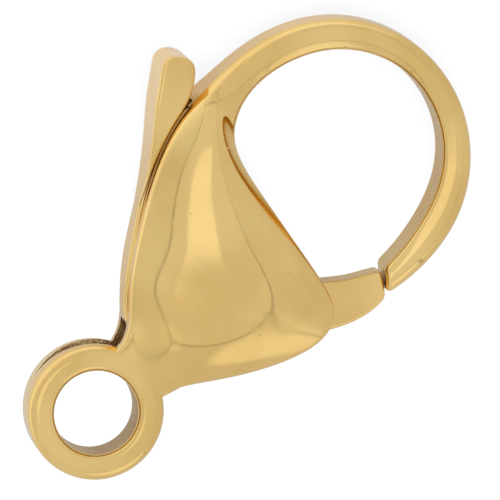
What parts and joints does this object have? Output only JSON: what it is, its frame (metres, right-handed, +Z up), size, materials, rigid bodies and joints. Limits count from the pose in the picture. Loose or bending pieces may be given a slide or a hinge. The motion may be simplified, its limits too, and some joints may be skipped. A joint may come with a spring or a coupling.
{
  "type": "lobster clasp",
  "caption": "Jewellery clasp: a hollow cast belly with a curved hook and a round eye, and a sprung thumb lever whose arm closes the hook.",
  "frame": {"origin": "centre of the eye's bore, in the clasp's middle plane", "axes": "+X along the clasp from the eye to the hook, +Y to the side of the lever's tab, +Z up from the surface that the clasp lies on. The clasp's middle plane leans, as it rests on its belly, its tab and the hook's edge"},
  "size_m": [0.015, 0.0092, 0.0039],
  "materials": {
    "gold_plate": "polished"
  },
  "bodies": {
    "body": {"body": "gold_plate", "pivot_pin": "gold_plate"},
    "lever": {"lever": "gold_plate"}
  },
  "joints": [
    {"name": "lever_pivot", "type": "hinge", "parent": "body", "child": "lever", "pos_m": [0.00292, 0.0003, -0.00043], "axis": [0.1382, 0.0642, 0.9883], "range_deg": [0, 18], "stiffness_Nm_per_rad": 0.0001, "springref_deg": -28.65}
  ]
}
